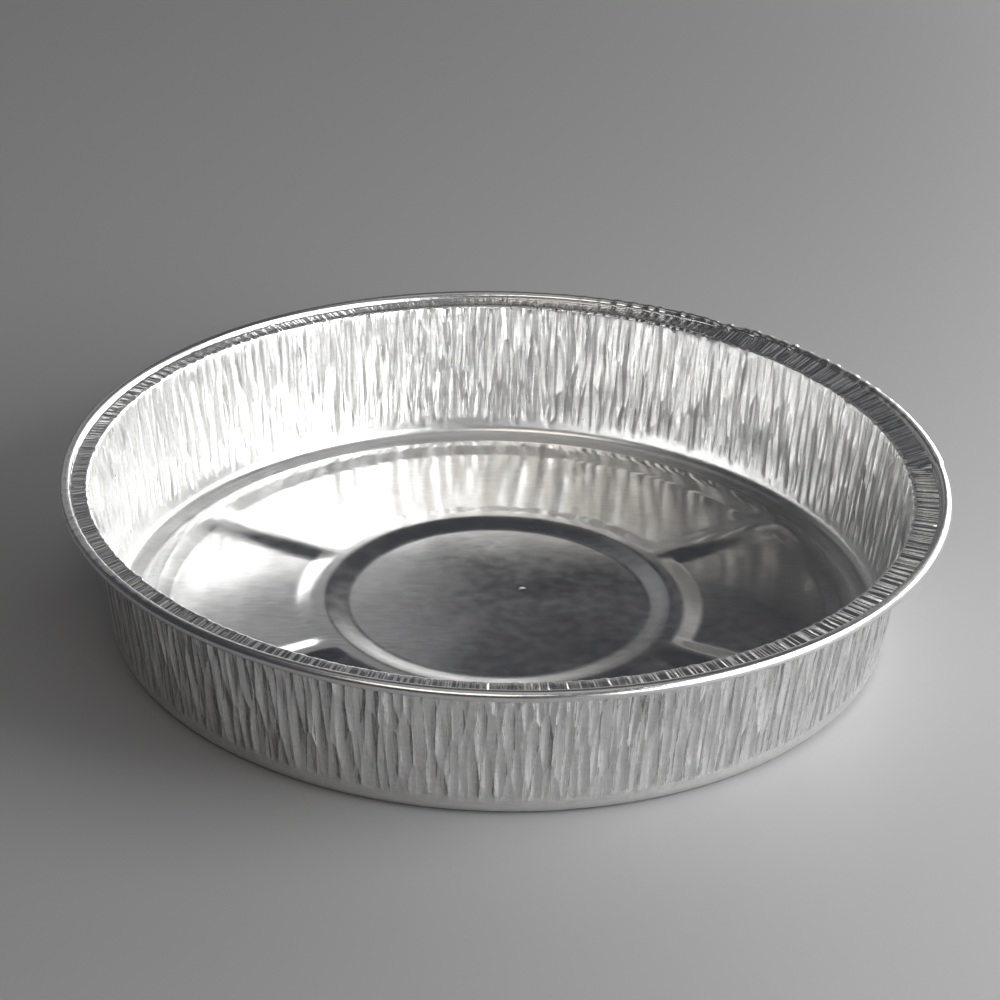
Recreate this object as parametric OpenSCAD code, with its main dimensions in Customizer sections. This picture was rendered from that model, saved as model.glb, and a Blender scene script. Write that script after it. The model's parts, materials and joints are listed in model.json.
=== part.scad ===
// Round pie tin pressed from one sheet of aluminium foil: an embossed base, a gathered wall,
// a narrow flange and a rolled rim. The tin stands on z = 0 with its axis on Z.

/* [Size] */
// Diameter over the rolled rim
rim_d = 228.6; // [222:0.2:250]
// Height from the table to the top of the rolled rim
height = 41; // [30:0.5:60]
// Diameter over the foot of the wall
foot_d = 203; // [196:0.5:208]
// Thickness of the foil
foil_t = 0.1; // [0.06:0.01:0.2]

/* [Rim] */
// Width of the rolled bead
bead_w = 3; // [2:0.1:4]
// Turn of the rolled bead, in degrees
bead_turn = 315; // [270:5:320]
// Width of the flange between the wall and the bead
flange_w = 4.6; // [2:0.1:6]
// Depth of the flange below the top of the bead
flange_drop = 1.7; // [1.4:0.05:2.6]
// Radius of the bend from the wall to the flange
lip_r = 1; // [0.5:0.1:2]

/* [Wall] */
// Radius of the bottom corner
corner_r = 3; // [2:0.25:8]
// Number of gathers around the wall
gathers = 144; // [120:4:148]
// Depth of the deepest gather, from crest to valley
gather_depth = 1.2; // [0.4:0.05:1.4]
// Depth of the gathers where they run over the lip, as a share of their depth on the wall
lip_share = 0.55; // [0.3:0.05:0.8]
// Smooth height of wall between the bottom corner and the gathers
smooth_h = 2.5; // [1:0.25:6]
// How far a gather wanders sideways, as a share of its half pitch
wander = 0.55; // [0:0.05:0.8]

/* [Base] */
// Height of the raised ribs and rings above the panels
rib_h = 1; // [0.5:0.1:2]
// Width of the flat crest of the ribs and rings
crest_w = 2.4; // [1.5:0.1:4]
// Width of the slope from a crest down to a panel
slope_w = 5.5; // [4:0.1:6.5]
// Diameter of the inner ring, along the middle of its crest
ring_d = 95; // [80:1:110]
// Width of the slope from the inner ring down to the middle disc
disc_slope_w = 7; // [4:0.1:9]
// Width of the outer ring's slope down to the seat that the tin stands on
seat_slope_w = 2.6; // [1.5:0.1:4]
// Width of the flat seat between the outer ring and the bottom corner
seat_w = 1.9; // [0.2:0.1:3]
// Angle between each of the four ribs and the X axis
rib_angle = 30; // [24:1:36]

/* [Hidden] */

// Grid of the sheet: the wall has two columns a gather, the base and the bead a quarter of them.
column_share = 4;
wall_cols = 2 * gathers;
base_cols = wall_cols / column_share;
curl_steps = 8;
rib_cols = 4;
column_step = 360 / base_cols;

// Radii and levels of the sheet's middle surface.
half_t = foil_t / 2;
bead_r = bead_w / 2 - half_t;
bead_at = [rim_d / 2 - bead_w / 2, height - bead_w / 2];
flange_z = height - flange_drop - half_t;
root_a = 180 + asin((bead_at[1] - flange_z) / bead_r);
root_r = bead_at[0] + bead_r * cos(root_a);
lip_at = [root_r - flange_w, flange_z - lip_r];
seat_r = foot_d / 2 - corner_r;
corner_mid_r = corner_r - half_t;
corner_at = [seat_r, corner_r];

// Lean of the wall: the line that is tangent to the bottom corner and to the lip.
span = lip_at - corner_at;
lean = acos((corner_mid_r + lip_r) / norm(span)) - atan2(span[1], span[0]);
wall_foot = corner_at + corner_mid_r * [cos(lean), -sin(lean)];
wall_top = lip_at - lip_r * [cos(lean), -sin(lean)];
gather_from = smooth_h / norm(wall_top - wall_foot);

// Half widths of a rib, and the rows of the base from the middle disc out to the seat.
rib_w = [-crest_w / 2 - slope_w, -crest_w / 2, crest_w / 2, crest_w / 2 + slope_w];
ring_in = ring_d / 2 - crest_w / 2;
ring_out = ring_d / 2 + crest_w / 2;
edge_out = seat_r - seat_w - seat_slope_w;
edge_in = edge_out - crest_w;
// Each row: radius, whether it is raised all round, whether it crosses the panels, evenness.
base_rows = [
    [ring_in - disc_slope_w, false, false, 0],
    [ring_in, true, false, 0],
    [ring_out, true, false, 0],
    [ring_out + slope_w, false, true, 0],
    [edge_in - slope_w, false, true, 0],
    [edge_in, true, false, 0],
    [edge_out, true, false, 0.4],
    [edge_out + seat_slope_w, false, false, 0.8],
    [seat_r, false, false, 1]
];

// Four ribs, with wide panels at the front and back and narrow ones at the sides.
rib_at = [rib_angle, 180 - rib_angle, 180 + rib_angle, 360 - rib_angle, 360 + rib_angle];
wide_cols = round((180 - 2 * rib_angle) / column_step) - rib_cols;
narrow_cols = base_cols / 2 - wide_cols - 2 * rib_cols;
panel_cols = [wide_cols, narrow_cols, wide_cols, narrow_cols];
// Each column of the base: the rib that it follows, and its place after that rib's first edge.
columns = [for (k = [0:3]) for (i = [0:rib_cols + panel_cols[k] - 1]) [k, i]];

// A number from 0 to 1 that looks random, the same each time for the same gather and row.
function vary(i, row) = let (x = 437.585 * (1 + sin(97.3 * i + 31.7 * row))) x - floor(x);

function even_angle(i) = rib_angle + (i - (rib_cols - 1) / 2) * column_step;

function rib_edge(k, w, r) = rib_at[k] + asin(w / r);

// Angle of a base column at radius r: parallel to its rib, or spread across its panel.
function followed_angle(k, i, r) =
    i < rib_cols ? rib_edge(k, rib_w[i], r) :
    let (share = (i - rib_cols + 1) / (panel_cols[k] + 1))
    (1 - share) * rib_edge(k, rib_w[3], r) + share * rib_edge(k + 1, rib_w[0], r);

function polar(r, a, z) = [r * cos(a), r * sin(a), z];

// A point of the sheet: its place on the middle surface, and the way its upper face looks.
function flat_point(row, j) =
    let (
        k = columns[j][0],
        i = columns[j][1],
        followed = followed_angle(k, i, row[0]),
        angle = (1 - row[3]) * followed + row[3] * even_angle(j),
        on_rib = i == 1 || i == 2,
        raised = row[1] || (row[2] && on_rib)
    )
    [polar(row[0], angle, half_t + (raised ? rib_h : 0)), [0, 0, 1]];

function arc_point(at, r, turn, inward, a) =
    let (way = inward ? -1 : 1)
    [polar(at[0] + r * cos(turn), a, at[1] + r * sin(turn)), polar(way * cos(turn), a, way * sin(turn))];

function smooth_row(at, r, turn, inward) =
    [for (j = [0:base_cols - 1]) arc_point(at, r, turn, inward, even_angle(j))];

// One row of gathers: crests and valleys in turn, each with its own depth and sideways drift.
function gather_row(at, way, share, row) =
    [for (i = [0:wall_cols - 1])
        let (
            deep = gather_depth / 2 * share * (0.35 + 0.65 * vary(floor(i / 2), row)),
            push = i % 2 == 0 ? deep : -deep,
            drift = (vary(i, row + 7) - 0.5) * wander * column_step / column_share,
            a = even_angle(i / column_share) + drift
        )
        [polar(at[0] + push * way[0], a, at[1] + push * way[1]), polar(way[0], a, way[1])]];

function wall_row(share, depth_share, row) =
    gather_row(wall_foot + share * (wall_top - wall_foot), [-cos(lean), sin(lean)], depth_share, row);

flat_rows = [for (row = base_rows) [for (j = [0:base_cols - 1]) flat_point(row, j)]];
corner_rows = [for (turn = [-45 - lean / 2, -lean]) smooth_row(corner_at, corner_mid_r, turn, true)];
wall_rows = [
    wall_row(gather_from, 0.8, 1),
    wall_row(gather_from + (1 - gather_from) / 3, 1, 2),
    wall_row(gather_from + (1 - gather_from) * 2 / 3, 1, 3),
    wall_row(1, 0.8, 4),
    gather_row([lip_at[0], flange_z], [0, 1], lip_share, 4)
];
curl_rows = [for (k = [0:curl_steps])
    smooth_row(bead_at, bead_r, root_a - k * bead_turn / curl_steps, false)];
sheet = concat(flat_rows, corner_rows, wall_rows, curl_rows);
middle = [[0, 0, half_t], [0, 0, 1]];

// Numbering of the points: the middle first, then row by row, then the same again underneath.
function row_start(k) = k == 0 ? 1 : row_start(k - 1) + len(sheet[k - 1]);
starts = [for (k = [0:len(sheet)]) row_start(k)];
under = starts[len(sheet)];

function face_points(side) =
    concat([middle[0] + side * half_t * middle[1]],
        [for (row = sheet) for (point = row) point[0] + side * half_t * point[1]]);

// Triangles between two rows that have as many points as each other.
function even_band(a, b, n) =
    [for (j = [0:n - 1]) let (next = (j + 1) % n)
        for (face = [[a + j, a + next, b + next], [a + j, b + next, b + j]]) face];

// Triangles from a row of n points to one of q * n points. With swap the fine row comes first.
function fan_band(coarse, fine, n, q, swap) =
    let (half = floor(q / 2))
    [for (j = [0:n - 1]) let (next = (j + 1) % n, mid = fine + q * j + half)
        for (face = concat(
            [for (i = [0:q - 1])
                let (hub = coarse + (i < half ? j : next))
                [hub, fine + (q * j + i + 1) % (q * n), fine + q * j + i]],
            [[coarse + j, coarse + next, mid]]))
        swap ? [face[2], face[1], face[0]] : face];

function band(k) =
    let (a = starts[k], b = starts[k + 1], na = len(sheet[k]), nb = len(sheet[k + 1]))
    na == nb ? even_band(a, b, na) :
    na < nb ? fan_band(a, b, na, nb / na, false) :
    fan_band(b, a, nb, na / nb, true);

function disc_fan() = [for (j = [0:base_cols - 1]) [0, starts[0] + (j + 1) % base_cols, starts[0] + j]];

upper_faces = concat(disc_fan(), [for (k = [0:len(sheet) - 2]) for (face = band(k)) face]);
lower_faces = [for (face = upper_faces) [face[2] + under, face[1] + under, face[0] + under]];
last_row = starts[len(sheet) - 1];
edge_faces = even_band(last_row, last_row + under, base_cols);

module tin() {
    color("silver")
        polyhedron(
            points = concat(face_points(1), face_points(-1)),
            faces = concat(upper_faces, lower_faces, edge_faces),
            convexity = 12
        );
}

tin();
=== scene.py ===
# %% [markdown]
# # A foil pie tin
# A pie tin is one disc of thin aluminium foil, pressed between two tools. The base is embossed to
# make it stiff, the wall is gathered because a flat disc has too much edge to stand up smoothly,
# and the edge is rolled into a bead so that it doesn't cut. This lesson builds that one sheet as a
# mesh, row by row from the middle of the base to the end of the roll, and gives it one metal.

import json
import math

import bpy
import numpy as np
from mathutils import Matrix, Vector

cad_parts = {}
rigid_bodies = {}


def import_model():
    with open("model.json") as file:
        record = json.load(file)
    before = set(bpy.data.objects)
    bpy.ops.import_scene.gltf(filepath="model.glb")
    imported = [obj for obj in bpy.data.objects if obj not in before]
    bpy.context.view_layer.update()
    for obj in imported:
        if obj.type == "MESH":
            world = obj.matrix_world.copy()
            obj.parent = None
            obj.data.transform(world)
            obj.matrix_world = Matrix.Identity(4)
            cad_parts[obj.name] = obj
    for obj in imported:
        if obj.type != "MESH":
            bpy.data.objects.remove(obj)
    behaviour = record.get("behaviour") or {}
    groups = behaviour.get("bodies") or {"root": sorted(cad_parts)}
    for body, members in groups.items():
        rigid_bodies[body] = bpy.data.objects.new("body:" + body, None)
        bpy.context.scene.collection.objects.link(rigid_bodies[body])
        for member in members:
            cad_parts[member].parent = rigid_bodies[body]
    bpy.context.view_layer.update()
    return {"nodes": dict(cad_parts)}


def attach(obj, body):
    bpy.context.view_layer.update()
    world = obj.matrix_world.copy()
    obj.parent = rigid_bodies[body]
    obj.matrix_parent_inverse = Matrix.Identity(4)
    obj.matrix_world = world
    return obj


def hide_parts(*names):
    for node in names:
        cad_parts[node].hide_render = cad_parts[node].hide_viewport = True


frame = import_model()
print("packed nodes:", sorted(frame["nodes"]))

# %% [markdown]
# ## Camera
# The photograph is taken from in front of the tin and above it, with a long lens, so the rim is a
# flat ellipse with almost no perspective. A camera could be aimed by eye, but the eye judges an
# ellipse poorly, so its place was found by fitting the rim, the foot and the rings of the base.
# A small roll stands for a camera held a little askew.

# %% Camera values and the camera
MM = 0.001
FOCAL_PX, IMAGE_PX, SENSOR_MM = 2705.0, 1000, 36.0
ELEVATION, ROLL, SWING = math.radians(27.363), math.radians(1.448), math.radians(-2.1)
DISTANCE = 703.2 * MM
AIM = Vector((-1.334, 0.0, 30.022)) * MM


def camera_axes(elevation, roll):
    """Right, up and back of a camera that looks along +Y and down."""
    level_up = Vector((0, math.sin(elevation), math.cos(elevation)))
    right = math.cos(roll) * Vector((1, 0, 0)) + math.sin(roll) * level_up
    up = math.cos(roll) * level_up - math.sin(roll) * Vector((1, 0, 0))
    return right, up, right.cross(up)


right, up, back = camera_axes(ELEVATION, ROLL)
camera_place = Matrix((right, up, back)).transposed().to_4x4()
camera_place.translation = AIM + DISTANCE * back
camera_data = bpy.data.cameras.new("camera")
camera_data.sensor_width = SENSOR_MM
camera_data.lens = FOCAL_PX * SENSOR_MM / IMAGE_PX
camera = bpy.data.objects.new("camera", camera_data)
camera.matrix_world = Matrix.Rotation(SWING, 4, "Z") @ camera_place
bpy.context.scene.collection.objects.link(camera)
bpy.context.scene.camera = camera
print("camera at", [round(v / MM, 1) for v in camera.matrix_world.translation], "mm")

# %% [markdown]
# ## Section of the sheet
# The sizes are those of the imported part, in millimetres. Cut through the middle, the sheet is a
# chain of straight lines and arcs: seat, bottom corner, leaning wall, lip, flange and rolled bead.
# It could be a list of points read off a drawing. Working it out from tangents, as a toolmaker
# does, keeps every bend smooth, also when a size changes.

# %% Sizes, and where the bends are
RIM_R, HEIGHT, FOOT_R, FOIL_T = 114.3, 41.0, 101.5, 0.1
BEAD_W, BEAD_TURN, FLANGE_W, FLANGE_DROP, LIP_R = 3.0, 315.0, 4.6, 1.7, 1.0
CORNER_R = 3.0

HALF_T = FOIL_T / 2
BEAD_R = BEAD_W / 2 - HALF_T
BEAD_AT = np.array([RIM_R - BEAD_W / 2, HEIGHT - BEAD_W / 2])
FLANGE_Z = HEIGHT - FLANGE_DROP - HALF_T
BEAD_START = 180 + math.degrees(math.asin((BEAD_AT[1] - FLANGE_Z) / BEAD_R))
FLANGE_END_R = BEAD_AT[0] + BEAD_R * math.cos(math.radians(BEAD_START))
LIP_AT = np.array([FLANGE_END_R - FLANGE_W, FLANGE_Z - LIP_R])
CORNER_AT = np.array([FOOT_R - CORNER_R, CORNER_R])
CORNER_MID_R = CORNER_R - HALF_T
print(f"bead's middle {BEAD_AT[0]:.1f} mm out, lip's middle {LIP_AT[0]:.1f} mm out")


# %% The leaning wall
def wall_lean():
    """Angle of the wall from upright: the line tangent to the corner and to the lip."""
    span = LIP_AT - CORNER_AT
    return math.acos((CORNER_MID_R + LIP_R) / np.hypot(*span)) - math.atan2(span[1], span[0])


LEAN = wall_lean()
WALL_IN = np.array([-math.cos(LEAN), math.sin(LEAN)])
WALL_FOOT = CORNER_AT - CORNER_MID_R * WALL_IN
WALL_TOP = LIP_AT + LIP_R * WALL_IN
WALL_LEN = np.hypot(*(WALL_TOP - WALL_FOOT))
print(f"wall leans {math.degrees(LEAN):.1f} degrees and is {WALL_LEN:.1f} mm long")

# %% [markdown]
# ## Embossed base
# Two rings and four ribs stand 1 mm above the panels and keep the thin base from flapping. They
# could be modelled one by one and joined, but the joints would be sharp, and a press leaves them
# soft. So the height is a formula. Each slope is straight, with a short bend at its top and foot.
# Where a rib meets a ring, their heights are joined as chances are, one minus the product of what
# is left, which fills the inner corners with a soft radius.

# %% Sizes of the rings and ribs
RIB_H, CREST_W, SLOPE_W = 1.0, 2.4, 5.5
RING_R, DISC_SLOPE_W, SEAT_SLOPE_W, SEAT_W = 47.5, 7.0, 2.6, 1.9
EDGE_RING_R = CORNER_AT[0] - SEAT_W - SEAT_SLOPE_W - CREST_W / 2
RIB_ANGLES = [30, 150, 210, 330]
print(f"rings at {RING_R} and {EDGE_RING_R:.1f} mm")


# %% Slopes and crests
def s_curve(x):
    """From 0 to 1, level at both ends."""
    x = np.clip(x, 0, 1)
    return x * x * (3 - 2 * x)


def ramp(x, bend=0.16):
    """From 0 to 1 in a straight line, with a short bend at each end."""
    x = np.clip(x, 0, 1)
    rise = np.where(x < bend, x * x / (2 * bend), x - bend / 2)
    rise = np.where(x > 1 - bend, 1 - bend - (1 - x) ** 2 / (2 * bend), rise)
    return rise / (1 - bend)


def crest(x, inner_slope, outer_slope):
    """One across a flat crest round x = 0, and a ramp down to zero on each side."""
    slope = np.where(x < 0, inner_slope, outer_slope)
    return 1 - ramp((np.abs(x) - CREST_W / 2) / slope)


print("height across half a rib:", [round(float(crest(x, SLOPE_W, SLOPE_W)), 2) for x in (0, 2, 4, 6)])


# %% Relief of the base
def relief(x, y):
    """Height of the embossing at a point of the base, in millimetres."""
    r = np.hypot(x, y)
    inner_ring = crest(r - RING_R, DISC_SLOPE_W, SLOPE_W)
    outer_ring = crest(r - EDGE_RING_R, SLOPE_W, SEAT_SLOPE_W)
    left = (1 - inner_ring) * (1 - outer_ring)
    for angle in np.radians(RIB_ANGLES):
        along = x * math.cos(angle) + y * math.sin(angle)
        across = y * math.cos(angle) - x * math.sin(angle)
        on_rib = (along > RING_R) & (along < EDGE_RING_R)
        left = left * (1 - np.where(on_rib, crest(across, SLOPE_W, SLOPE_W), 0))
    return RIB_H * (1 - left)


print("relief on a rib, a panel and the disc:",
      [round(float(relief(*p)), 2) for p in ((60.6, 35.0), (0.0, 70.0), (0.0, 0.0))])

# %% [markdown]
# ## Gathers
# A flat disc that is pushed up into a wall has spare length, more of it the higher it goes. The
# foil takes it up in folds: upright ridges with flat facets between them, which start at different
# heights, lean a little, and fork upwards where one fold isn't enough. A sine wave would be a quick
# way to make them, but it would look like a fluted cake case: foil creases are straight-sided and
# never even. So each fold is a tent, with its own path round the tin, width and height.

# %% Curves round the tin
WALL_MIDDLE_R = 104.0
rng = np.random.default_rng(12)


def turn_of(cols):
    """Angles of a row's points, in degrees."""
    return np.arange(cols) * 360 / cols


def near(angles, middle, reach):
    """One at an angle round the tin, down to zero at reach degrees from it."""
    return s_curve(1 - np.abs((angles - middle + 180) % 360 - 180) / reach)


def even_noise(angles, waves, seed):
    """A smooth, closed curve round the tin from a few sine waves, about -1 to 1.

    Each wave starts at a random place in its turn of 6.28 radians.
    """
    local = np.random.default_rng(seed)
    total = sum(np.sin(np.radians(angles) * n + local.uniform(0, 6.28)) for n in waves)
    return total / math.sqrt(len(waves))


print("nearness 10 degrees from a place that reaches 40:", round(float(near(10.0, 0.0, 40.0)), 2))


# %% Sets of folds
def fold_set(count, spread, width, depth, start, end, slant, bow):
    """Random folds: angle (degrees), half width and depth (mm), start and end (share of the wall),
    and how far each leans and bows sideways (mm)."""
    def between(low, high):
        return rng.uniform(low, high, count)

    return {
        "angle": (np.arange(count) + between(-spread, spread)) * 360 / count,
        "width": between(*width), "depth": between(*depth),
        "start": between(*start), "end": between(*end),
        "slant": rng.normal(0, slant, count), "bow": rng.normal(0, bow, count),
    }


MAIN, BETWEEN, SHORT, FORKS, PLEATS, LUMPS = 144, 210, 420, 90, 230, 150
print(f"main folds are {math.tau * WALL_MIDDLE_R / MAIN:.1f} mm apart half way up the wall")

# %% Folds of the wall
main_folds = fold_set(
    MAIN, spread=0.36, width=(0.85, 1.6), depth=(0.25, 0.7), start=(-0.2, 0.3), end=(0.75, 3.0),
    slant=1.8, bow=0.6)
between_folds = fold_set(
    BETWEEN, spread=0.5, width=(0.6, 1.1), depth=(0.2, 0.55), start=(0.1, 0.75), end=(0.9, 3.0),
    slant=2.6, bow=0.6)
short_folds = fold_set(
    SHORT, spread=0.5, width=(0.55, 1.0), depth=(0.18, 0.5), start=(-0.1, 0.75), end=(0.0, 0.0),
    slant=3.6, bow=0.5)
short_folds["end"] = short_folds["start"] + rng.uniform(0.16, 0.45, SHORT)
print("deepest main fold:", main_folds["depth"].max().round(2), "mm")

# %% Forks
# A fork leaves its main fold where it starts, and runs 1.5 to 4 mm to one side by the top.
fork_folds = fold_set(
    FORKS, spread=0.5, width=(0.6, 1.0), depth=(0.15, 0.42), start=(0.0, 0.6), end=(2.2, 3.0),
    slant=0.0, bow=0.1)
fork_folds["parent"] = rng.integers(0, MAIN, FORKS)
fork_folds["side"] = rng.choice([-1, 1], FORKS) * rng.uniform(1.5, 4.0, FORKS)
wall_folds = (main_folds, between_folds, short_folds, fork_folds)
print("folds of the wall:", sum(len(folds["angle"]) for folds in wall_folds))

# %% Pleats and lumps
# Pleats of the flange are the same spare length, pressed nearly flat: finer, and more of them.
pleats = fold_set(
    PLEATS, spread=0.5, width=(0.8, 1.5), depth=(0.15, 0.55), start=(1.2, 1.2), end=(3.0, 3.0),
    slant=0.5, bow=0.0)
# Lumps of the bead are folds that were rolled up with the edge.
lumps = fold_set(
    LUMPS, spread=0.35, width=(1.1, 2.0), depth=(0.1, 0.5), start=(1.2, 1.2), end=(3.0, 3.0),
    slant=0.3, bow=0.0)
print(PLEATS, "pleats and", LUMPS, "lumps")

# %% Path and height of a fold
# Share of the wall over which a fold rises and dies away.
FADE = 0.1
# Folds that are neighbours lean the same way, by up to about 3 mm over the wall.
COMMON_LEAN = 3.0


def fold_path(folds, s):
    """Angle of each fold, in degrees, at share s of the wall. Above the wall it runs straight out."""
    s = min(s, 1.0)
    degrees_per_mm = math.degrees(1 / WALL_MIDDLE_R)
    lean = COMMON_LEAN * even_noise(folds["angle"], waves=(3, 7, 11), seed=21)
    drift = (folds["slant"] + lean) * (s - 0.5) + folds["bow"] * math.sin(math.pi * s)
    if "parent" not in folds:
        return folds["angle"] + drift * degrees_per_mm
    parent = {name: values[folds["parent"]] for name, values in main_folds.items()}
    spread = np.clip((s - folds["start"]) / (1 - folds["start"]), 0, 1)
    return fold_path(parent, s) + folds["side"] * spread * degrees_per_mm


def fold_height(folds, angles, s, radius):
    """Sum of the tents at each angle (degrees), in millimetres towards the inside of the tin."""
    rise = s_curve((s - folds["start"]) / FADE) * (1 - s_curve((s - folds["end"]) / FADE))
    # The higher up the wall, the more spare length there is, so the deeper the fold.
    depth = folds["depth"] * rise * (0.7 + 0.3 * min(s, 1.0))
    away = (angles[None, :] - fold_path(folds, s)[:, None] + 180) % 360 - 180
    tent = np.clip(1 - np.abs(np.radians(away) * radius) / folds["width"][:, None], 0, 1)
    return (depth[:, None] * tent).sum(0)


def gathers(angles, s, radius):
    """Height of all the wall's folds together."""
    return sum(fold_height(folds, angles, s, radius) for folds in wall_folds)


print("a fold rises over", round(FADE * WALL_LEN, 1), "mm of the wall")

# %% Grid of the sheet, and the folds' mean height
WALL_ROWS, BASE_COLS, WALL_COLS = 20, 320, 960
# Taking the mean away keeps the folds astride the pressed section, as many outwards as inwards.
MEAN_LIFT = float(np.mean(gathers(turn_of(WALL_COLS), 0.6, WALL_MIDDLE_R)))
print(f"the wall's folds are {MEAN_LIFT:.2f} mm high on the whole")

# %% [markdown]
# ## Rows of the sheet
# Each row is one ring of points: where the section is, which way the upper face looks, and how much
# of the gathers it carries. A Screw modifier would turn the section round by itself, but here the
# folds change from row to row. They run on over the lip, are flattened on the flange, and are
# rolled up in the bead, where they show as small lumps.

# %% Rows from the middle of the base to the end of the roll
# A row's place up the sheet: 0 to 1 on the wall, and these values above it.
LIP_S, LIP_TOP_S, FLANGE_S, BEAD_S = 1.3, 1.5, 2.0, 2.2
rows = []


def add_row(r, z, way, cols, share=0.0, s=0.0, aside=1.0):
    """Adds a ring of points, cols of them, at radius r and height z, whose upper face looks along way.

    share is how much of the folds it carries, s its place up the sheet, and aside how much of the
    cup's shift it takes.
    """
    rows.append({"r": r, "z": z, "way": way, "cols": cols, "share": share, "s": s, "aside": aside})


def arc(centre, radius, turn, inward, cols, share=0.0, s=0.0, aside=1.0):
    """Adds the row at an angle of an arc. inward says whether the upper face looks to its centre."""
    outwards, upwards = math.cos(math.radians(turn)), math.sin(math.radians(turn))
    sign = -1 if inward else 1
    way = (sign * outwards, sign * upwards)
    add_row(centre[0] + radius * outwards, centre[1] + radius * upwards, way, cols, share, s, aside)


# The base's rows lie close together where a slope bends, and far apart on the flat.
base_radii = [13, 28, 38.8, 39.6, 40.7, 43.0, 45.1, 46.0, 46.9, 48.2, 49.0, 50.0, 52.9, 53.8,
              54.8, 60, 68, 76, 83, 85.6, 86.4, 87.2, 90.5, 91.4, 92.3, 93.5, 94.3, 96.1, 96.7]
for r in base_radii:
    add_row(r, HALF_T, (0, 1), BASE_COLS)
add_row(CORNER_AT[0], HALF_T, (0, 1), WALL_COLS)
for turn in (-70, -50, -30):
    arc(CORNER_AT, CORNER_MID_R, turn, True, WALL_COLS)

for s in np.linspace(0, 1, WALL_ROWS):
    at = WALL_FOOT + s * (WALL_TOP - WALL_FOOT)
    add_row(at[0], at[1], WALL_IN, WALL_COLS, 1.0, s)
for turn, share, s in ((148, 0.45, LIP_S), (118, 0.34, LIP_TOP_S), (90, 0.26, LIP_TOP_S)):
    arc(LIP_AT, LIP_R, turn, False, WALL_COLS, share, s)
for step, share in ((0.3, 0.22), (0.65, 0.2), (0.93, 0.16)):
    add_row(LIP_AT[0] + step * FLANGE_W, FLANGE_Z, (0, 1), WALL_COLS, share, FLANGE_S, 1 - step)
# The bead's rows are close where it can be seen, and wide apart inside the curl.
BEAD_SHARE = 0.25
for turn in (0, 16, 38, 62, 88, 114, 140, 166, 194, 226, 266, BEAD_TURN):
    arc(BEAD_AT, BEAD_R, BEAD_START - turn, False, WALL_COLS, BEAD_SHARE, BEAD_S, 0.0)
print(len(rows), "rows")

# %% [markdown]
# ## Points
# A tin that has been handled is never quite round or flat, and foil keeps each knock. The bends of
# the rim could be pushed in by hand in sculpt mode, but a formula can be read and changed. Each
# point of the middle surface then gives two, half the foil's thickness to each side. A Solidify
# modifier could do that too, but in code the underside can also be cut flat where the tin stands.

# %% How handling has bent the rim
# Angles are degrees round the tin, from the right towards the back. Heights are millimetres.
CRUSH_START, CRUSH_START_W, CRUSH_END, CRUSH_END_W = 0.5, 1.5, 46, 14
CRUSH_TIP, CRUSH_SINK = 1.7, 0.5
LIFT_AT, LIFT_REACH, LIFT = 218, 45, 0.8
DENT_AT, DENT_REACH, DENT = 54, 4, 0.7


def rim_bend(angles, step, z):
    """How far the rim is bent up. step is the place across the flange, 0 to 1.

    The back right is tipped inwards, the left front is lifted by the lip, and there is one dent.
    """
    before_end = 1 - s_curve((angles - CRUSH_END) / CRUSH_END_W)
    crush = s_curve((angles - CRUSH_START) / CRUSH_START_W) * before_end
    lifted = near(angles, LIFT_AT, LIFT_REACH)
    rise = (z - FLANGE_Z) / (BEAD_AT[1] + BEAD_R - FLANGE_Z)
    bend = crush * (CRUSH_TIP * step - CRUSH_SINK) * np.clip(1 - rise, 0, 1) + LIFT * lifted * (1 - step)
    return bend - DENT * near(angles, DENT_AT, DENT_REACH) * np.clip(rise, 0, 1)


# Where the bead is lumpy: angle and reach in degrees, and how strongly.
LUMPY_PLACES = ((195, 35, 0.2), (45, 50, 1.3))


def bead_lumps(angles):
    """How strongly the rolled-in folds show: most at the back right, least at the back left."""
    lumpy = 0.03 + 0.04 * even_noise(angles, waves=(3, 5, 8), seed=4) ** 2
    for at, reach, peak in LUMPY_PLACES:
        lumpy = lumpy + peak * near(angles, at, reach)
    return lumpy


print("lumps at the back right and back left:", bead_lumps(np.array([45.0, 120.0])).round(2))

# %% How far the folds push each row
# On the wall: where the folds start, over what share they rise, and how they end below the lip.
FOOT_START, FOOT_FADE, LIP_FADE, PRESSED_OUT = -0.02, 0.12, 0.2, 0.5
# On the flange: how much of the pleats shows. In the bead: how much of the wall's folds is left.
PLEAT_SHARE, MEAN_PLEAT = 0.35, 0.25
ROLLED_FLAT, ROLLED_LUMPY = 0.03, 0.1


def lift_of(row, angles):
    """How far the folds push a row's points towards its upper face, in millimetres.

    They rise out of the smooth band at the wall's foot, and are half pressed out below the lip.
    """
    if row["share"] == 0:
        return np.zeros(row["cols"])
    lift = gathers(angles, row["s"], row["r"]) - MEAN_LIFT
    if row["s"] <= 1:
        from_foot = s_curve((row["s"] - FOOT_START) / FOOT_FADE)
        under_lip = 1 - PRESSED_OUT * s_curve((row["s"] - (1 - LIP_FADE)) / LIP_FADE)
        lift = lift * from_foot * under_lip
    lift = lift * row["share"]
    if row["s"] >= FLANGE_S:
        lift = lift + PLEAT_SHARE * (fold_height(pleats, angles, FLANGE_S, row["r"]) - MEAN_PLEAT)
    if row["s"] >= BEAD_S:
        lumpy = bead_lumps(angles)
        rolled_in = fold_height(lumps, angles, FLANGE_S, row["r"]) * lumpy
        lift = (ROLLED_FLAT + ROLLED_LUMPY * lumpy) * (lift - np.mean(lift)) + rolled_in
        lift = lift - np.mean(lift)
    return lift


wall_rows = [row for row in rows if row["share"] == 1]
half_way = lift_of(wall_rows[WALL_ROWS // 2], turn_of(WALL_COLS))
print("folds half way up the wall:", half_way.min().round(2), "to", half_way.max().round(2), "mm")

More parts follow.
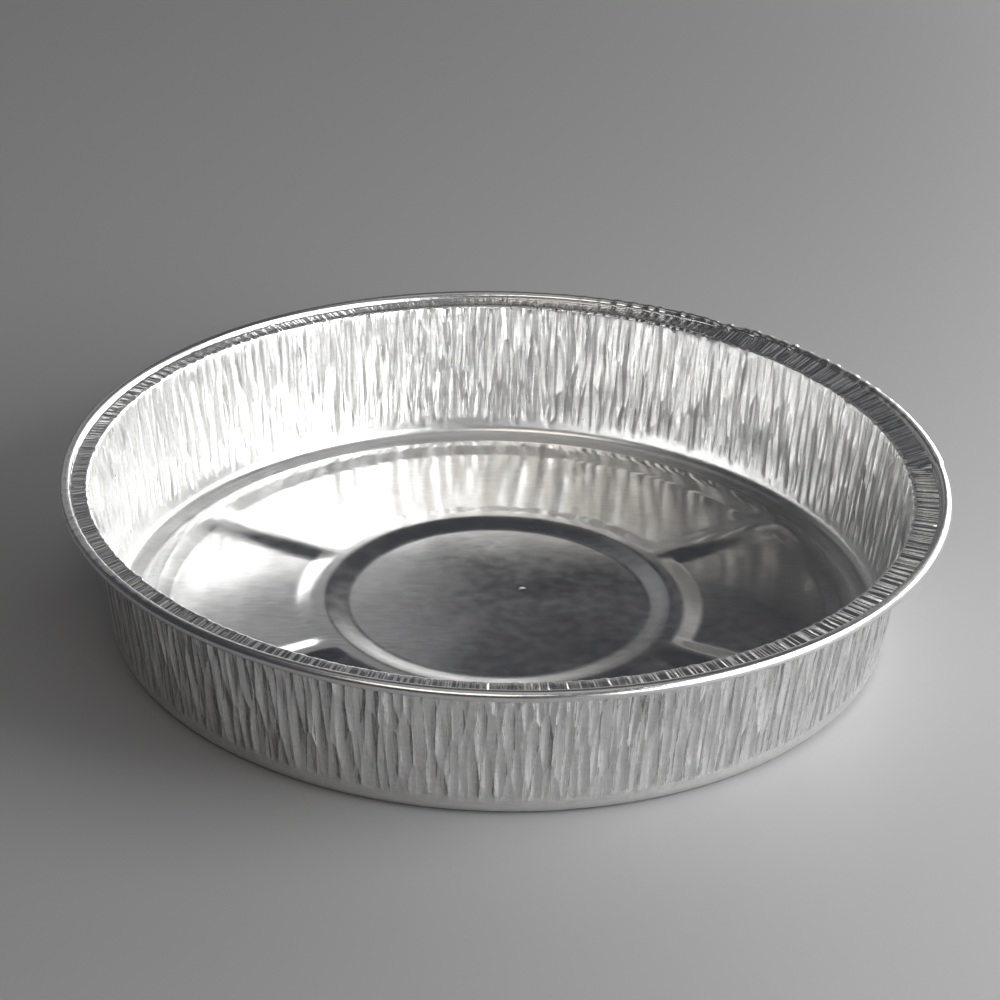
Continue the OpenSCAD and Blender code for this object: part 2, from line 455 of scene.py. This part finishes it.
# %% Middle surface
# The cup wasn't pressed quite in the middle of the sheet: the flange is wider on the right.
CUP_ASIDE = -1.1
# The base bulges up a little towards its middle.
BULGE_H, BULGE_R, CENTRE_LIFT = 0.16, 96, 0.2


def middle_row(row):
    """Points of one row of the middle surface, and which way the upper face looks at each."""
    angles = turn_of(row["cols"])
    a = np.radians(angles)
    lift = lift_of(row, angles)
    r = row["r"] + lift * row["way"][0]
    z = row["z"] + lift * row["way"][1]
    if row["s"] >= LIP_TOP_S:
        z = z + rim_bend(angles, 1 - row["aside"], row["z"])
    x, y = r * np.cos(a), r * np.sin(a)
    if row["r"] <= CORNER_AT[0]:
        uneven = 1 + 0.5 * even_noise(angles, waves=(2, 3, 5), seed=9)
        z = z + relief(x, y)
        z = z + BULGE_H * s_curve(1 - row["r"] / BULGE_R) * uneven
    x = x + CUP_ASIDE * row["aside"]
    level, upright = row["way"]
    ways = np.stack([level * np.cos(a), level * np.sin(a), np.full(row["cols"], upright)], 1)
    return np.stack([x, y, z], 1), ways


made = [middle_row(row) for row in rows]
middle = np.concatenate([[[0.0, 0.0, HALF_T + CENTRE_LIFT]]] + [points for points, ways in made])
upper_ways = np.concatenate([[[0.0, 0.0, 1.0]]] + [ways for points, ways in made])
print(len(middle), "points in the middle surface")

# %% The sheet's two faces
upper, lower = middle + HALF_T * upper_ways, middle - HALF_T * upper_ways
lower[:, 2] = np.maximum(lower[:, 2], 0.0)
print("highest point of the upper face:", round(float(upper[:, 2].max()), 2), "mm")

# %% [markdown]
# ## Faces
# Rows with the same number of points are joined by four-sided faces. The smooth base needs fewer
# points than the finely folded wall. One grid for both would waste two thirds of the base's points,
# so at the outer edge of the base one column opens into three, where the sheet is still smooth and
# the change of grid doesn't show. One last row of faces closes the edge inside the curl.

# %% Faces of the upper side
starts = np.cumsum([1] + [row["cols"] for row in rows])
faces = [(0, 1 + j, 1 + (j + 1) % BASE_COLS) for j in range(BASE_COLS)]
for k in range(len(rows) - 1):
    cols, outer_cols = rows[k]["cols"], rows[k + 1]["cols"]
    inner, outer = int(starts[k]), int(starts[k + 1])
    split = outer_cols // cols
    for j in range(cols):
        here, onward = inner + j, inner + (j + 1) % cols
        beyond = [outer + (split * j + i) % outer_cols for i in range(split + 1)]
        if split == 1:
            faces.append((here, beyond[0], beyond[1], onward))
            continue
        faces.append((here, beyond[0], beyond[1]))
        faces.append((here, beyond[1], beyond[2], onward))
        faces.append((onward, beyond[2], beyond[3]))
print("faces of the upper side:", len(faces))

# %% Faces of the lower side and the edge
under = len(middle)
lower_faces = [tuple(v + under for v in reversed(f)) for f in faces]
last = int(starts[len(rows) - 1])
edge_faces = []
for j in range(WALL_COLS):
    here, onward = last + j, last + (j + 1) % WALL_COLS
    edge_faces.append((here, here + under, onward + under, onward))
all_faces = faces + lower_faces + edge_faces
print("triangles:", sum(len(f) - 2 for f in all_faces))

# %% Make the piece
mesh = bpy.data.meshes.new("foil_tin")
mesh.from_pydata((np.concatenate([upper, lower]) * MM).tolist(), [], all_faces)
mesh.validate()
mesh.shade_smooth()
tin = bpy.data.objects.new("foil_tin", mesh)
bpy.context.scene.collection.objects.link(tin)
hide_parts("tin")
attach(tin, "root")
print("tin:", len(mesh.vertices), "points")

# %% [markdown]
# ## Rolled aluminium foil
# Foil is rolled between polished steel rolls, so it is a near mirror with a very fine grain along
# the rolling direction. Pressing dulls it a little: the base stays bright, and the wall, which was
# dragged through the tool, carries fine upright scratches and a crumpled grain between its folds.
# A picture of foil could be wrapped round the tin, but it would stretch on the wall and repeat. So
# each pattern is a formula in the tin's own millimetres, which gives bump, roughness or a little
# colour. The flat base is brightest, with a roughness near 0.2, and the scratched wall is near 0.3.

# %% Colour and node helpers
SMOOTH = {"interpolation_type": "SMOOTHSTEP"}
TIMES, PLUS, MINUS = {"operation": "MULTIPLY"}, {"operation": "ADD"}, {"operation": "SUBTRACT"}


def linear(hex_code):
    """A colour from its sRGB hex code, in the linear values that shaders take."""
    parts = [int(hex_code[i:i + 2], 16) / 255 for i in (1, 3, 5)]
    return [p / 12.92 if p <= 0.04045 else ((p + 0.055) / 1.055) ** 2.4 for p in parts] + [1.0]


def add(tree, kind, settings=None, inputs=None):
    """Adds a node. settings are its own properties, inputs are values or the sockets that feed it."""
    node = tree.nodes.new(kind)
    for name, value in (settings or {}).items():
        setattr(node, name, value)
    for name, value in (inputs or {}).items():
        if isinstance(value, bpy.types.NodeSocket):
            tree.links.new(value, node.inputs[name])
        else:
            node.inputs[name].default_value = value
    return node


def new_material(name):
    """An empty material, and its tree of nodes."""
    material = bpy.data.materials.new(name)
    material.use_nodes = True
    material.node_tree.nodes.clear()
    return material, material.node_tree


print("mid grey #808080 is", round(linear("#808080")[0], 3), "in linear values")

# %% Where a point of the foil is
foil, tree = new_material("rolled aluminium foil")
place = add(tree, "ShaderNodeTexCoord").outputs["Object"]
parts = add(tree, "ShaderNodeSeparateXYZ", inputs={"Vector": place}).outputs
flat_place = add(tree, "ShaderNodeCombineXYZ", inputs={"X": parts["X"], "Y": parts["Y"]}).outputs[0]
from_axis = add(tree, "ShaderNodeVectorMath", {"operation": "LENGTH"}, {0: flat_place}).outputs["Value"]
# Above zero on the outer face of the wall, and below zero on the inner one.
surface = add(tree, "ShaderNodeNewGeometry").outputs["True Normal"]
facing_out = add(tree, "ShaderNodeVectorMath", {"operation": "DOT_PRODUCT"}, {
    0: surface, 1: place}).outputs["Value"]
# A small dimple in the disc, 2.4 mm across, 8 mm from the middle.
DIMPLE_AT, DIMPLE_R = (5.5 * MM, 6.0 * MM, 0.0), 1.2
from_dimple = add(tree, "ShaderNodeVectorMath", {"operation": "DISTANCE"}, {
    0: place, 1: DIMPLE_AT}).outputs["Value"]
print("measures made for each point")

# %% Zones of the foil
# Each zone goes from one value to another between two lengths in millimetres.
zones = {}
for name, measure, start, end, before, after in (
        ("wall", parts["Z"], 3.5, 6.5, 0.0, 1.0),
        ("rim", parts["Z"], 38.2, 39.0, 0.0, 1.0),
        ("short of bead", from_axis, 110.6, 111.6, 1.0, 0.0),
        ("duller to the corner", from_axis, 91.0, 96.0, 0.0, 0.14),
        ("outer face", facing_out, -10.0, 10.0, 0.0, 1.0),
        ("sharper pleats at the left", parts["X"], -100.0, -30.0, 1.0, 0.5),
        ("dimple", from_dimple, 0.0, DIMPLE_R, 1.0, 0.0)):
    zones[name] = add(tree, "ShaderNodeMapRange", SMOOTH, {
        "Value": measure, "From Min": start * MM, "From Max": end * MM,
        "To Min": before, "To Max": after}).outputs["Result"]
on_flange = add(tree, "ShaderNodeMath", TIMES, {0: zones["rim"], 1: zones["short of bead"]}).outputs[0]
below_rim = add(tree, "ShaderNodeMath", MINUS, {0: 1.0, 1: zones["rim"]}).outputs[0]
on_side = add(tree, "ShaderNodeMath", TIMES, {0: zones["wall"], 1: below_rim}).outputs[0]
print("zones:", ", ".join(zones))

# %% Places along the folds
# Folds run up the wall and straight out over the flange. So their place is the way out from the
# axis, the same at any distance from it, on a circle as large as the wall, and their height.
CIRCLE_R = 105.0
way_out = add(tree, "ShaderNodeVectorMath", {"operation": "NORMALIZE"}, {0: flat_place}).outputs[0]
round_place = add(tree, "ShaderNodeVectorMath", {"operation": "SCALE"}, {
    0: way_out, "Scale": CIRCLE_R}).outputs[0]
round_parts = add(tree, "ShaderNodeSeparateXYZ", inputs={"Vector": round_place}).outputs
height_mm = add(tree, "ShaderNodeMath", {"operation": "DIVIDE"}, {0: parts["Z"], 1: MM}).outputs[0]


def fold_place(width, stretch):
    """Place in grains that are width mm across, and stretch times as tall."""
    tall = add(tree, "ShaderNodeMath", {"operation": "DIVIDE"}, {0: height_mm, 1: stretch}).outputs[0]
    joined = add(tree, "ShaderNodeCombineXYZ", inputs={
        "X": round_parts["X"], "Y": round_parts["Y"], "Z": tall}).outputs[0]
    return add(tree, "ShaderNodeVectorMath", {"operation": "SCALE"}, {
        0: joined, "Scale": 1 / width}).outputs[0]


print("the fold circle is", round(2 * math.pi * CIRCLE_R), "mm round")

# %% Creases, scratches and pleats
# Creases are sharp ridges between shallow bowls, 2.6 mm across: the squared distance to the middle
# of the nearest bowl.
from_bowl = add(tree, "ShaderNodeTexVoronoi", {"feature": "F1"}, {
    "Vector": fold_place(width=2.6, stretch=6.0), "Scale": 1.0, "Randomness": 1.0}).outputs["Distance"]
broad_creases = add(tree, "ShaderNodeMath", {"operation": "POWER"}, {0: from_bowl, 1: 2.0}).outputs[0]
# Scratches up the wall. Real ones are finer: they are drawn 1 mm wide to show.
streaks = add(tree, "ShaderNodeTexNoise", inputs={
    "Vector": fold_place(width=1.0, stretch=10.0), "Scale": 1.0,
    "Detail": 2.0, "Roughness": 0.6}).outputs["Fac"]
# Pleats of the flange: lines straight out from the axis, 1.4 mm apart.
pleat_lines = add(tree, "ShaderNodeTexNoise", inputs={
    "Vector": fold_place(width=1.4, stretch=30.0), "Scale": 1.0, "Detail": 1.0}).outputs["Fac"]
print("patterns along the folds: creases, scratches, pleats")

# %% Grain, mottling and cloudiness of the base
# Rolling grain is lines along X. Real grain is about 0.02 mm, so it is drawn 0.9 mm wide to show.
GRAIN = 1 / (0.9 * MM)
grain_place = add(tree, "ShaderNodeMapping", inputs={
    "Vector": place, "Scale": (GRAIN / 6, GRAIN, GRAIN)}).outputs["Vector"]
grain = add(tree, "ShaderNodeTexNoise", inputs={
    "Vector": grain_place, "Scale": 1.0, "Detail": 1.0}).outputs["Fac"]
# Mottling: soft patches 4 mm across, from the press cushion.
mottle = add(tree, "ShaderNodeTexNoise", inputs={
    "Vector": place, "Scale": 1 / (4 * MM), "Detail": 1.0}).outputs["Fac"]
# Slow cloudiness, patches 30 mm across: handling and oil.
cloud = add(tree, "ShaderNodeTexNoise", inputs={
    "Vector": place, "Scale": 1 / (30 * MM), "Detail": 1.0}).outputs["Fac"]
print("grain lines to the millimetre:", round(GRAIN * MM, 2))

# %% How dull each zone is
# What a pattern gives the roughness, from its low parts to its high ones.
LOW, HIGH = 0.3, 0.7
dull = {}
for name, pattern, at_low, at_high in (
        ("cloud", cloud, 0.1, 0.14), ("mottle", mottle, 0.05, 0.09), ("streaks", streaks, 0.27, 0.42)):
    dull[name] = add(tree, "ShaderNodeMapRange", SMOOTH, {
        "Value": pattern, "From Min": LOW, "From Max": HIGH,
        "To Min": at_low, "To Max": at_high}).outputs["Result"]
base_dull = add(tree, "ShaderNodeMath", PLUS, {0: dull["cloud"], 1: dull["mottle"]}).outputs[0]
base_dull = add(tree, "ShaderNodeMath", PLUS, {0: base_dull, 1: zones["duller to the corner"]}).outputs[0]
# The outer face of the wall slid over the tool, which polished it.
POLISH, RIM_DULL = 0.12, 0.25
polish = add(tree, "ShaderNodeMath", TIMES, {0: zones["outer face"], 1: POLISH}).outputs[0]
wall_dull = add(tree, "ShaderNodeMath", MINUS, {0: dull["streaks"], 1: polish}).outputs[0]
roughness = add(tree, "ShaderNodeMix", {"data_type": "FLOAT"}, {
    0: zones["wall"], 2: base_dull, 3: wall_dull}).outputs[0]
roughness = add(tree, "ShaderNodeMix", {"data_type": "FLOAT"}, {
    0: zones["rim"], 2: roughness, 3: RIM_DULL}).outputs[0]
print("roughness mixed from", ", ".join(dull))

# %% How strongly each pattern of the wall and the flange stands out
SCRATCHES, CREASES_INSIDE, CREASES_OUTSIDE = 0.8, 0.42, 1.1
streak_strength = add(tree, "ShaderNodeMath", TIMES, {0: on_side, 1: SCRATCHES}).outputs[0]
# The creases stand out more on the outer face than on the inner one, as in the photograph.
sharper_outside = add(tree, "ShaderNodeMapRange", SMOOTH, {
    "Value": zones["outer face"], "From Min": 0.0, "From Max": 1.0,
    "To Min": CREASES_INSIDE, "To Max": CREASES_OUTSIDE}).outputs["Result"]
crease_strength = add(tree, "ShaderNodeMath", TIMES, {0: on_side, 1: sharper_outside}).outputs[0]
pleat_strength = add(tree, "ShaderNodeMath", TIMES, {
    0: on_flange, 1: zones["sharper pleats at the left"]}).outputs[0]

# Each pattern, its strength, and how deep it is in millimetres.
layers = [(mottle, 0.4, 0.05), (cloud, 0.5, 0.5), (zones["dimple"], 1.0, 0.12),
          (streaks, streak_strength, 0.35), (broad_creases, crease_strength, 1.7),
          (pleat_lines, pleat_strength, 1.3)]
bump = None
for pattern, strength, depth in layers:
    links = {"Height": pattern, "Strength": strength, "Distance": depth * MM}
    bump = add(tree, "ShaderNodeBump", inputs=links | ({"Normal": bump} if bump else {})).outputs["Normal"]
print(len(layers), "layers of bump")

# %% Foil material
# Bare aluminium is nearly white, a little darker along the grain.
colour = add(tree, "ShaderNodeMix", {"data_type": "RGBA"}, {
    0: grain, 6: linear("#D6D6D5"), 7: linear("#F2F2F1")}).outputs[2]
shader = add(tree, "ShaderNodeBsdfPrincipled", inputs={
    "Base Color": colour, "Metallic": 1.0, "Roughness": roughness, "Normal": bump})
add(tree, "ShaderNodeOutputMaterial", inputs={"Surface": shader.outputs["BSDF"]})
tin.data.materials.append(foil)
print("foil nodes:", len(tree.nodes))

# %% [markdown]
# ## Floor, light and room
# The floor is pale and plain. Foil shows its surroundings more than itself, so the room matters as
# much as the lamps. A picture of a studio would do for most objects, but here each part of the tin
# has to mirror the right tone. So the room is a formula: dark high up behind the tin, which the
# flat base mirrors, and pale low down at the back right and straight overhead. Wide, soft lamps in
# front and at the right fill the gathered wall.

# %% Floor
FLOOR_HALF = 2.2
FLOOR_GAP = 0.1 * MM
floor_corners = [(x * FLOOR_HALF, y * FLOOR_HALF, 0) for x, y in ((-1, -1), (1, -1), (1, 1), (-1, 1))]
floor_mesh = bpy.data.meshes.new("floor")
floor_mesh.from_pydata(floor_corners, [], [(0, 1, 2, 3)])
floor = bpy.data.objects.new("floor", floor_mesh)
bpy.context.scene.collection.objects.link(floor)
# Matt paper scatters the light, so it shows soft shadows and only a faint sheen.
paper, tree = new_material("matt grey paper")
shader = add(tree, "ShaderNodeBsdfPrincipled", inputs={
    "Base Color": linear("#989899"), "Roughness": 0.55})
add(tree, "ShaderNodeOutputMaterial", inputs={"Surface": shader.outputs["BSDF"]})
floor_mesh.materials.append(paper)
floor.location.z = -FLOOR_GAP
print("floor of", 2 * FLOOR_HALF, "metres made")


# %% Lamps
def soft_light(name, at, aim, width, depth, watts, tint="#FFFFFF"):
    """A flat, soft lamp. Places and sizes are in metres."""
    data = bpy.data.lights.new(name, "AREA")
    data.shape, data.size, data.size_y = "RECTANGLE", width, depth
    data.energy, data.color = watts, linear(tint)[:3]
    lamp = bpy.data.objects.new(name, data)
    lamp.location = at
    lamp.rotation_euler = (Vector(aim) - Vector(at)).to_track_quat("-Z", "Y").to_euler()
    bpy.context.scene.collection.objects.link(lamp)


soft_light("key", (0.5, -0.18, 0.3), (0, 0, 0.02), width=0.45, depth=0.4, watts=4.1)
soft_light("right", (0.87, 0.75, 0.26), (0, 0, 0), width=1.1, depth=0.48, watts=9.0)
soft_light("low front", (1.0, -0.85, 0.3), (0, 0, 0), width=1.2, depth=0.5, watts=9.0)
soft_light("high front", (-0.3, -1.0, 1.1), (0, 0, 0), width=0.9, depth=0.5, watts=3.4, tint="#FFF8EE")
soft_light("back left", (-0.46, 0.95, 0.56), (0, 0, 0), width=0.95, depth=0.5, watts=0.34)

# %% Directions in the room
# Behind the tin and right of its middle the room is pale up to about 18 degrees above the table,
# and up to 30 degrees further right. It is pale straight overhead, and dark elsewhere.
world = bpy.data.worlds.new("pale back wall, dark sides")
world.use_nodes = True
room = world.node_tree
towards = add(room, "ShaderNodeTexCoord").outputs["Generated"]
ray = add(room, "ShaderNodeSeparateXYZ", inputs={"Vector": towards}).outputs


def height_at(degrees):
    """Height of a direction's end, one away, at an angle above the table."""
    return math.sin(math.radians(degrees))


glow = {}
for name, measure, start, end, before, after in (
        ("higher at the right", ray["X"], 0.1, 0.35, 0.0, 0.2),
        ("at the back", ray["Y"], -0.2, 0.6, 0.0, 1.0),
        ("right of the middle", ray["X"], -0.03, 0.1, 0.15, 1.0),
        ("overhead", ray["Z"], height_at(60), height_at(76), 0.0, 1.0)):
    glow[name] = add(room, "ShaderNodeMapRange", SMOOTH, {
        "Value": measure, "From Min": start, "From Max": end,
        "To Min": before, "To Max": after}).outputs["Result"]
print("the room is pale:", ", ".join(glow))

# %% Light of the room
height = add(room, "ShaderNodeMath", MINUS, {0: ray["Z"], 1: glow["higher at the right"]}).outputs[0]
pale = add(room, "ShaderNodeMapRange", SMOOTH, {
    "Value": height, "From Min": height_at(18), "From Max": height_at(29),
    "To Min": 1.0, "To Max": 0.0}).outputs["Result"]
for name in ("at the back", "right of the middle"):
    pale = add(room, "ShaderNodeMath", TIMES, {0: pale, 1: glow[name]}).outputs[0]
pale = add(room, "ShaderNodeMath", {"operation": "MAXIMUM"}, {0: pale, 1: glow["overhead"]}).outputs[0]
DARK_WALL, PALE_WALL = linear("#38393E"), linear("#ACABA9")
room_colour = add(room, "ShaderNodeMix", {"data_type": "RGBA"}, {
    0: pale, 6: DARK_WALL, 7: PALE_WALL}).outputs[2]
room.links.new(room_colour, room.nodes["Background"].inputs["Color"])
bpy.context.scene.world = world
bpy.context.scene.view_settings.view_transform = "Standard"
print("room nodes:", len(room.nodes))
